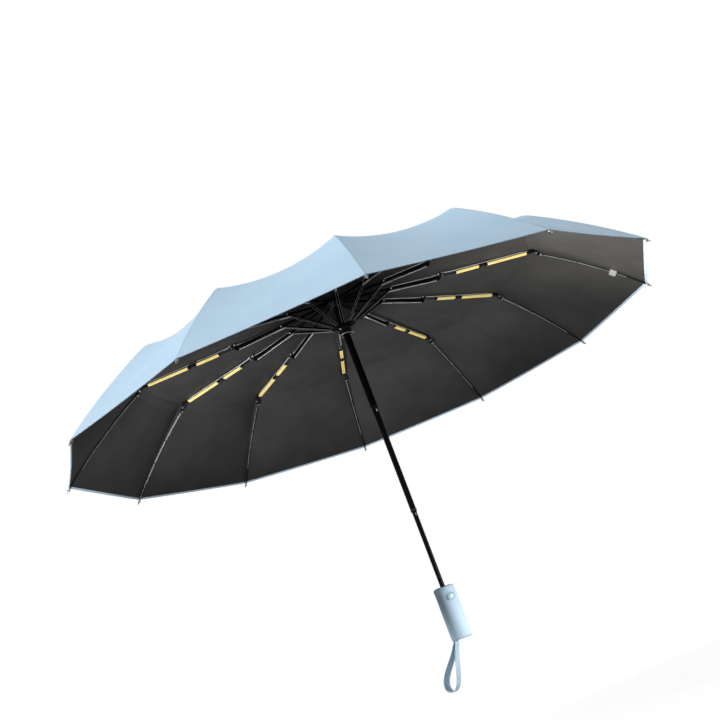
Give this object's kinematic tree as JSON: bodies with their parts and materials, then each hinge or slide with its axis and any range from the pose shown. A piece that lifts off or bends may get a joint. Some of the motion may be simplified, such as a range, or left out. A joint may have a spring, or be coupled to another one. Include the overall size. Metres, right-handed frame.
{
  "type": "folding umbrella",
  "caption": "Three-fold umbrella: hinged ribs with stretchers on a runner, telescopic shaft, round grip with button, wrist loop and closure band.",
  "frame": {"origin": "on the axis of the shaft, at the middle of the grip", "axes": "+Z along the shaft from the grip to the crown; +X along rib 1, the next ribs follow every 30 degrees towards +Y"},
  "size_m": [1.0494, 1.0494, 0.6902],
  "materials": {
    "black_steel": "satin black lacquer",
    "black_plastic": "satin",
    "yellow_fibre": "satin yellow bars with black ends",
    "dark_wire": "dark drawn wire",
    "blue_plastic": "satin",
    "blue_gloss": "gloss",
    "blue_webbing": "woven webbing",
    "blue_cloth": "plain woven cloth, black coated on the inside"
  },
  "bodies": {
    "grip": {"handle": "blue_plastic", "handle_socket": "black_plastic", "bottom_tube": "black_steel"},
    "middle_tube": {"middle_tube": "black_steel"},
    "top_tube": {"top_tube": "black_steel", "crown": "black_plastic", "top_cap": "black_plastic", "canopy": "blue_cloth"},
    "runner": {"runner": "black_plastic"},
    "button": {"open_close_button": "blue_gloss"},
    "wrist_strap": {"wrist_strap": "blue_webbing"},
    "inner_rib_01": {"inner_rib_01": "black_steel"},
    "stretcher_01": {"stretcher_01": "black_steel"},
    "middle_rib_01": {"middle_rib_01": "yellow_fibre"},
    "outer_rib_01": {"outer_rib_01": "dark_wire"},
    "inner_rib_02": {"inner_rib_02": "black_steel"},
    "stretcher_02": {"stretcher_02": "black_steel"},
    "middle_rib_02": {"middle_rib_02": "yellow_fibre"},
    "outer_rib_02": {"outer_rib_02": "dark_wire"},
    "inner_rib_03": {"inner_rib_03": "black_steel"},
    "stretcher_03": {"stretcher_03": "black_steel"},
    "middle_rib_03": {"middle_rib_03": "yellow_fibre"},
    "outer_rib_03": {"outer_rib_03": "dark_wire"},
    "inner_rib_04": {"inner_rib_04": "black_steel"},
    "stretcher_04": {"stretcher_04": "black_steel"},
    "middle_rib_04": {"middle_rib_04": "yellow_fibre"},
    "outer_rib_04": {"outer_rib_04": "dark_wire", "closure_strap": "blue_webbing"},
    "inner_rib_05": {"inner_rib_05": "black_steel"},
    "stretcher_05": {"stretcher_05": "black_steel"},
    "middle_rib_05": {"middle_rib_05": "yellow_fibre"},
    "outer_rib_05": {"outer_rib_05": "dark_wire"},
    "inner_rib_06": {"inner_rib_06": "black_steel"},
    "stretcher_06": {"stretcher_06": "black_steel"},
    "middle_rib_06": {"middle_rib_06": "yellow_fibre"},
    "outer_rib_06": {"outer_rib_06": "dark_wire"},
    "inner_rib_07": {"inner_rib_07": "black_steel"},
    "stretcher_07": {"stretcher_07": "black_steel"},
    "middle_rib_07": {"middle_rib_07": "yellow_fibre"},
    "outer_rib_07": {"outer_rib_07": "dark_wire"},
    "inner_rib_08": {"inner_rib_08": "black_steel"},
    "stretcher_08": {"stretcher_08": "black_steel"},
    "middle_rib_08": {"middle_rib_08": "yellow_fibre"},
    "outer_rib_08": {"outer_rib_08": "dark_wire"},
    "inner_rib_09": {"inner_rib_09": "black_steel"},
    "stretcher_09": {"stretcher_09": "black_steel"},
    "middle_rib_09": {"middle_rib_09": "yellow_fibre"},
    "outer_rib_09": {"outer_rib_09": "dark_wire"},
    "inner_rib_10": {"inner_rib_10": "black_steel"},
    "stretcher_10": {"stretcher_10": "black_steel"},
    "middle_rib_10": {"middle_rib_10": "yellow_fibre"},
    "outer_rib_10": {"outer_rib_10": "dark_wire"},
    "inner_rib_11": {"inner_rib_11": "black_steel"},
    "stretcher_11": {"stretcher_11": "black_steel"},
    "middle_rib_11": {"middle_rib_11": "yellow_fibre"},
    "outer_rib_11": {"outer_rib_11": "dark_wire"},
    "inner_rib_12": {"inner_rib_12": "black_steel"},
    "stretcher_12": {"stretcher_12": "black_steel"},
    "middle_rib_12": {"middle_rib_12": "yellow_fibre"},
    "outer_rib_12": {"outer_rib_12": "dark_wire"}
  },
  "joints": [
    {"name": "middle_tube_slide", "type": "slide", "parent": "grip", "child": "middle_tube", "axis": [0, 0, 1], "range_m": [-0.12, 0]},
    {"name": "top_tube_slide", "type": "slide", "parent": "middle_tube", "child": "top_tube", "axis": [0, 0, 1], "range_m": [-0.172, 0]},
    {"name": "runner_slide", "type": "slide", "parent": "top_tube", "child": "runner", "axis": [0, 0, 1], "range_m": [-0.13813, 0], "deforming": ["canopy"]},
    {"name": "button_press", "type": "slide", "parent": "grip", "child": "button", "axis": [-0.3746, 0.9272, 0], "range_m": [0, 0.0025], "stiffness_N_per_m": 600},
    {"name": "strap_swing", "type": "hinge", "parent": "grip", "child": "wrist_strap", "pos_m": [-0.0095, 0, -0.04145], "axis": [-0.6481, -0.7615, 0], "range_deg": [-11.8, 74.2]},
    {"name": "inner_rib_hinge_01", "type": "hinge", "parent": "top_tube", "child": "inner_rib_01", "pos_m": [0.0115, 0, 0.5567], "axis": [0, 1, 0], "range_deg": [0, 83.65]},
    {"name": "stretcher_hinge_01", "type": "hinge", "parent": "runner", "child": "stretcher_01", "pos_m": [0.0115, 0, 0.5084], "axis": [0, 1, 0], "range_deg": [-66.85, 0]},
    {"name": "middle_rib_hinge_01", "type": "hinge", "parent": "inner_rib_01", "child": "middle_rib_01", "pos_m": [0.186, 0, 0.54251], "axis": [0, 1, 0], "range_deg": [-177.91, 0]},
    {"name": "outer_rib_hinge_01", "type": "hinge", "parent": "middle_rib_01", "child": "outer_rib_01", "pos_m": [0.3605, 0, 0.52028], "axis": [0, 1, 0], "range_deg": [0, 147.84]},
    {"name": "inner_rib_hinge_02", "type": "hinge", "parent": "top_tube", "child": "inner_rib_02", "pos_m": [0.00996, 0.00575, 0.5567], "axis": [-0.5, 0.866, 0], "range_deg": [0, 83.65]},
    {"name": "stretcher_hinge_02", "type": "hinge", "parent": "runner", "child": "stretcher_02", "pos_m": [0.00996, 0.00575, 0.5084], "axis": [-0.5, 0.866, 0], "range_deg": [-66.85, 0]},
    {"name": "middle_rib_hinge_02", "type": "hinge", "parent": "inner_rib_02", "child": "middle_rib_02", "pos_m": [0.16108, 0.093, 0.54251], "axis": [-0.5, 0.866, 0], "range_deg": [-177.91, 0]},
    {"name": "outer_rib_hinge_02", "type": "hinge", "parent": "middle_rib_02", "child": "outer_rib_02", "pos_m": [0.3122, 0.18025, 0.52028], "axis": [-0.5, 0.866, 0], "range_deg": [0, 147.84]},
    {"name": "inner_rib_hinge_03", "type": "hinge", "parent": "top_tube", "child": "inner_rib_03", "pos_m": [0.00575, 0.00996, 0.5567], "axis": [-0.866, 0.5, 0], "range_deg": [0, 83.65]},
    {"name": "stretcher_hinge_03", "type": "hinge", "parent": "runner", "child": "stretcher_03", "pos_m": [0.00575, 0.00996, 0.5084], "axis": [-0.866, 0.5, 0], "range_deg": [-66.85, 0]},
    {"name": "middle_rib_hinge_03", "type": "hinge", "parent": "inner_rib_03", "child": "middle_rib_03", "pos_m": [0.093, 0.16108, 0.54251], "axis": [-0.866, 0.5, 0], "range_deg": [-177.91, 0]},
    {"name": "outer_rib_hinge_03", "type": "hinge", "parent": "middle_rib_03", "child": "outer_rib_03", "pos_m": [0.18025, 0.3122, 0.52028], "axis": [-0.866, 0.5, 0], "range_deg": [0, 147.84]},
    {"name": "inner_rib_hinge_04", "type": "hinge", "parent": "top_tube", "child": "inner_rib_04", "pos_m": [0, 0.0115, 0.5567], "axis": [-1, 0, 0], "range_deg": [0, 83.65]},
    {"name": "stretcher_hinge_04", "type": "hinge", "parent": "runner", "child": "stretcher_04", "pos_m": [0, 0.0115, 0.5084], "axis": [-1, 0, 0], "range_deg": [-66.85, 0]},
    {"name": "middle_rib_hinge_04", "type": "hinge", "parent": "inner_rib_04", "child": "middle_rib_04", "pos_m": [0, 0.186, 0.54251], "axis": [-1, 0, 0], "range_deg": [-177.91, 0]},
    {"name": "outer_rib_hinge_04", "type": "hinge", "parent": "middle_rib_04", "child": "outer_rib_04", "pos_m": [0, 0.3605, 0.52028], "axis": [-1, 0, 0], "range_deg": [0, 147.84]},
    {"name": "inner_rib_hinge_05", "type": "hinge", "parent": "top_tube", "child": "inner_rib_05", "pos_m": [-0.00575, 0.00996, 0.5567], "axis": [-0.866, -0.5, 0], "range_deg": [0, 83.65]},
    {"name": "stretcher_hinge_05", "type": "hinge", "parent": "runner", "child": "stretcher_05", "pos_m": [-0.00575, 0.00996, 0.5084], "axis": [-0.866, -0.5, 0], "range_deg": [-66.85, 0]},
    {"name": "middle_rib_hinge_05", "type": "hinge", "parent": "inner_rib_05", "child": "middle_rib_05", "pos_m": [-0.093, 0.16108, 0.54251], "axis": [-0.866, -0.5, 0], "range_deg": [-177.91, 0]},
    {"name": "outer_rib_hinge_05", "type": "hinge", "parent": "middle_rib_05", "child": "outer_rib_05", "pos_m": [-0.18025, 0.3122, 0.52028], "axis": [-0.866, -0.5, 0], "range_deg": [0, 147.84]},
    {"name": "inner_rib_hinge_06", "type": "hinge", "parent": "top_tube", "child": "inner_rib_06", "pos_m": [-0.00996, 0.00575, 0.5567], "axis": [-0.5, -0.866, 0], "range_deg": [0, 83.65]},
    {"name": "stretcher_hinge_06", "type": "hinge", "parent": "runner", "child": "stretcher_06", "pos_m": [-0.00996, 0.00575, 0.5084], "axis": [-0.5, -0.866, 0], "range_deg": [-66.85, 0]},
    {"name": "middle_rib_hinge_06", "type": "hinge", "parent": "inner_rib_06", "child": "middle_rib_06", "pos_m": [-0.16108, 0.093, 0.54251], "axis": [-0.5, -0.866, 0], "range_deg": [-177.91, 0]},
    {"name": "outer_rib_hinge_06", "type": "hinge", "parent": "middle_rib_06", "child": "outer_rib_06", "pos_m": [-0.3122, 0.18025, 0.52028], "axis": [-0.5, -0.866, 0], "range_deg": [0, 147.84]},
    {"name": "inner_rib_hinge_07", "type": "hinge", "parent": "top_tube", "child": "inner_rib_07", "pos_m": [-0.0115, 0, 0.5567], "axis": [0, -1, 0], "range_deg": [0, 83.65]},
    {"name": "stretcher_hinge_07", "type": "hinge", "parent": "runner", "child": "stretcher_07", "pos_m": [-0.0115, 0, 0.5084], "axis": [0, -1, 0], "range_deg": [-66.85, 0]},
    {"name": "middle_rib_hinge_07", "type": "hinge", "parent": "inner_rib_07", "child": "middle_rib_07", "pos_m": [-0.186, 0, 0.54251], "axis": [0, -1, 0], "range_deg": [-177.91, 0]},
    {"name": "outer_rib_hinge_07", "type": "hinge", "parent": "middle_rib_07", "child": "outer_rib_07", "pos_m": [-0.3605, 0, 0.52028], "axis": [0, -1, 0], "range_deg": [0, 147.84]},
    {"name": "inner_rib_hinge_08", "type": "hinge", "parent": "top_tube", "child": "inner_rib_08", "pos_m": [-0.00996, -0.00575, 0.5567], "axis": [0.5, -0.866, 0], "range_deg": [0, 83.65]},
    {"name": "stretcher_hinge_08", "type": "hinge", "parent": "runner", "child": "stretcher_08", "pos_m": [-0.00996, -0.00575, 0.5084], "axis": [0.5, -0.866, 0], "range_deg": [-66.85, 0]},
    {"name": "middle_rib_hinge_08", "type": "hinge", "parent": "inner_rib_08", "child": "middle_rib_08", "pos_m": [-0.16108, -0.093, 0.54251], "axis": [0.5, -0.866, 0], "range_deg": [-177.91, 0]},
    {"name": "outer_rib_hinge_08", "type": "hinge", "parent": "middle_rib_08", "child": "outer_rib_08", "pos_m": [-0.3122, -0.18025, 0.52028], "axis": [0.5, -0.866, 0], "range_deg": [0, 147.84]},
    {"name": "inner_rib_hinge_09", "type": "hinge", "parent": "top_tube", "child": "inner_rib_09", "pos_m": [-0.00575, -0.00996, 0.5567], "axis": [0.866, -0.5, 0], "range_deg": [0, 83.65]},
    {"name": "stretcher_hinge_09", "type": "hinge", "parent": "runner", "child": "stretcher_09", "pos_m": [-0.00575, -0.00996, 0.5084], "axis": [0.866, -0.5, 0], "range_deg": [-66.85, 0]},
    {"name": "middle_rib_hinge_09", "type": "hinge", "parent": "inner_rib_09", "child": "middle_rib_09", "pos_m": [-0.093, -0.16108, 0.54251], "axis": [0.866, -0.5, 0], "range_deg": [-177.91, 0]},
    {"name": "outer_rib_hinge_09", "type": "hinge", "parent": "middle_rib_09", "child": "outer_rib_09", "pos_m": [-0.18025, -0.3122, 0.52028], "axis": [0.866, -0.5, 0], "range_deg": [0, 147.84]},
    {"name": "inner_rib_hinge_10", "type": "hinge", "parent": "top_tube", "child": "inner_rib_10", "pos_m": [0, -0.0115, 0.5567], "axis": [1, 0, 0], "range_deg": [0, 83.65]},
    {"name": "stretcher_hinge_10", "type": "hinge", "parent": "runner", "child": "stretcher_10", "pos_m": [0, -0.0115, 0.5084], "axis": [1, 0, 0], "range_deg": [-66.85, 0]},
    {"name": "middle_rib_hinge_10", "type": "hinge", "parent": "inner_rib_10", "child": "middle_rib_10", "pos_m": [0, -0.186, 0.54251], "axis": [1, 0, 0], "range_deg": [-177.91, 0]},
    {"name": "outer_rib_hinge_10", "type": "hinge", "parent": "middle_rib_10", "child": "outer_rib_10", "pos_m": [0, -0.3605, 0.52028], "axis": [1, 0, 0], "range_deg": [0, 147.84]},
    {"name": "inner_rib_hinge_11", "type": "hinge", "parent": "top_tube", "child": "inner_rib_11", "pos_m": [0.00575, -0.00996, 0.5567], "axis": [0.866, 0.5, 0], "range_deg": [0, 83.65]},
    {"name": "stretcher_hinge_11", "type": "hinge", "parent": "runner", "child": "stretcher_11", "pos_m": [0.00575, -0.00996, 0.5084], "axis": [0.866, 0.5, 0], "range_deg": [-66.85, 0]},
    {"name": "middle_rib_hinge_11", "type": "hinge", "parent": "inner_rib_11", "child": "middle_rib_11", "pos_m": [0.093, -0.16108, 0.54251], "axis": [0.866, 0.5, 0], "range_deg": [-177.91, 0]},
    {"name": "outer_rib_hinge_11", "type": "hinge", "parent": "middle_rib_11", "child": "outer_rib_11", "pos_m": [0.18025, -0.3122, 0.52028], "axis": [0.866, 0.5, 0], "range_deg": [0, 147.84]},
    {"name": "inner_rib_hinge_12", "type": "hinge", "parent": "top_tube", "child": "inner_rib_12", "pos_m": [0.00996, -0.00575, 0.5567], "axis": [0.5, 0.866, 0], "range_deg": [0, 83.65]},
    {"name": "stretcher_hinge_12", "type": "hinge", "parent": "runner", "child": "stretcher_12", "pos_m": [0.00996, -0.00575, 0.5084], "axis": [0.5, 0.866, 0], "range_deg": [-66.85, 0]},
    {"name": "middle_rib_hinge_12", "type": "hinge", "parent": "inner_rib_12", "child": "middle_rib_12", "pos_m": [0.16108, -0.093, 0.54251], "axis": [0.5, 0.866, 0], "range_deg": [-177.91, 0]},
    {"name": "outer_rib_hinge_12", "type": "hinge", "parent": "middle_rib_12", "child": "outer_rib_12", "pos_m": [0.3122, -0.18025, 0.52028], "axis": [0.5, 0.866, 0], "range_deg": [0, 147.84]}
  ],
  "couplings": [
    {"joint": "inner_rib_hinge_01", "follows": "runner_slide", "rad_per_m": -10.557},
    {"joint": "stretcher_hinge_01", "follows": "runner_slide", "rad_per_m": 8.4341},
    {"joint": "middle_rib_hinge_01", "follows": "runner_slide", "rad_per_m": 22.467},
    {"joint": "outer_rib_hinge_01", "follows": "runner_slide", "rad_per_m": -18.667},
    {"joint": "inner_rib_hinge_02", "follows": "runner_slide", "rad_per_m": -10.557},
    {"joint": "stretcher_hinge_02", "follows": "runner_slide", "rad_per_m": 8.4341},
    {"joint": "middle_rib_hinge_02", "follows": "runner_slide", "rad_per_m": 22.467},
    {"joint": "outer_rib_hinge_02", "follows": "runner_slide", "rad_per_m": -18.667},
    {"joint": "inner_rib_hinge_03", "follows": "runner_slide", "rad_per_m": -10.557},
    {"joint": "stretcher_hinge_03", "follows": "runner_slide", "rad_per_m": 8.4341},
    {"joint": "middle_rib_hinge_03", "follows": "runner_slide", "rad_per_m": 22.467},
    {"joint": "outer_rib_hinge_03", "follows": "runner_slide", "rad_per_m": -18.667},
    {"joint": "inner_rib_hinge_04", "follows": "runner_slide", "rad_per_m": -10.557},
    {"joint": "stretcher_hinge_04", "follows": "runner_slide", "rad_per_m": 8.4341},
    {"joint": "middle_rib_hinge_04", "follows": "runner_slide", "rad_per_m": 22.467},
    {"joint": "outer_rib_hinge_04", "follows": "runner_slide", "rad_per_m": -18.667},
    {"joint": "inner_rib_hinge_05", "follows": "runner_slide", "rad_per_m": -10.557},
    {"joint": "stretcher_hinge_05", "follows": "runner_slide", "rad_per_m": 8.4341},
    {"joint": "middle_rib_hinge_05", "follows": "runner_slide", "rad_per_m": 22.467},
    {"joint": "outer_rib_hinge_05", "follows": "runner_slide", "rad_per_m": -18.667},
    {"joint": "inner_rib_hinge_06", "follows": "runner_slide", "rad_per_m": -10.557},
    {"joint": "stretcher_hinge_06", "follows": "runner_slide", "rad_per_m": 8.4341},
    {"joint": "middle_rib_hinge_06", "follows": "runner_slide", "rad_per_m": 22.467},
    {"joint": "outer_rib_hinge_06", "follows": "runner_slide", "rad_per_m": -18.667},
    {"joint": "inner_rib_hinge_07", "follows": "runner_slide", "rad_per_m": -10.557},
    {"joint": "stretcher_hinge_07", "follows": "runner_slide", "rad_per_m": 8.4341},
    {"joint": "middle_rib_hinge_07", "follows": "runner_slide", "rad_per_m": 22.467},
    {"joint": "outer_rib_hinge_07", "follows": "runner_slide", "rad_per_m": -18.667},
    {"joint": "inner_rib_hinge_08", "follows": "runner_slide", "rad_per_m": -10.557},
    {"joint": "stretcher_hinge_08", "follows": "runner_slide", "rad_per_m": 8.4341},
    {"joint": "middle_rib_hinge_08", "follows": "runner_slide", "rad_per_m": 22.467},
    {"joint": "outer_rib_hinge_08", "follows": "runner_slide", "rad_per_m": -18.667},
    {"joint": "inner_rib_hinge_09", "follows": "runner_slide", "rad_per_m": -10.557},
    {"joint": "stretcher_hinge_09", "follows": "runner_slide", "rad_per_m": 8.4341},
    {"joint": "middle_rib_hinge_09", "follows": "runner_slide", "rad_per_m": 22.467},
    {"joint": "outer_rib_hinge_09", "follows": "runner_slide", "rad_per_m": -18.667},
    {"joint": "inner_rib_hinge_10", "follows": "runner_slide", "rad_per_m": -10.557},
    {"joint": "stretcher_hinge_10", "follows": "runner_slide", "rad_per_m": 8.4341},
    {"joint": "middle_rib_hinge_10", "follows": "runner_slide", "rad_per_m": 22.467},
    {"joint": "outer_rib_hinge_10", "follows": "runner_slide", "rad_per_m": -18.667},
    {"joint": "inner_rib_hinge_11", "follows": "runner_slide", "rad_per_m": -10.557},
    {"joint": "stretcher_hinge_11", "follows": "runner_slide", "rad_per_m": 8.4341},
    {"joint": "middle_rib_hinge_11", "follows": "runner_slide", "rad_per_m": 22.467},
    {"joint": "outer_rib_hinge_11", "follows": "runner_slide", "rad_per_m": -18.667},
    {"joint": "inner_rib_hinge_12", "follows": "runner_slide", "rad_per_m": -10.557},
    {"joint": "stretcher_hinge_12", "follows": "runner_slide", "rad_per_m": 8.4341},
    {"joint": "middle_rib_hinge_12", "follows": "runner_slide", "rad_per_m": 22.467},
    {"joint": "outer_rib_hinge_12", "follows": "runner_slide", "rad_per_m": -18.667}
  ]
}
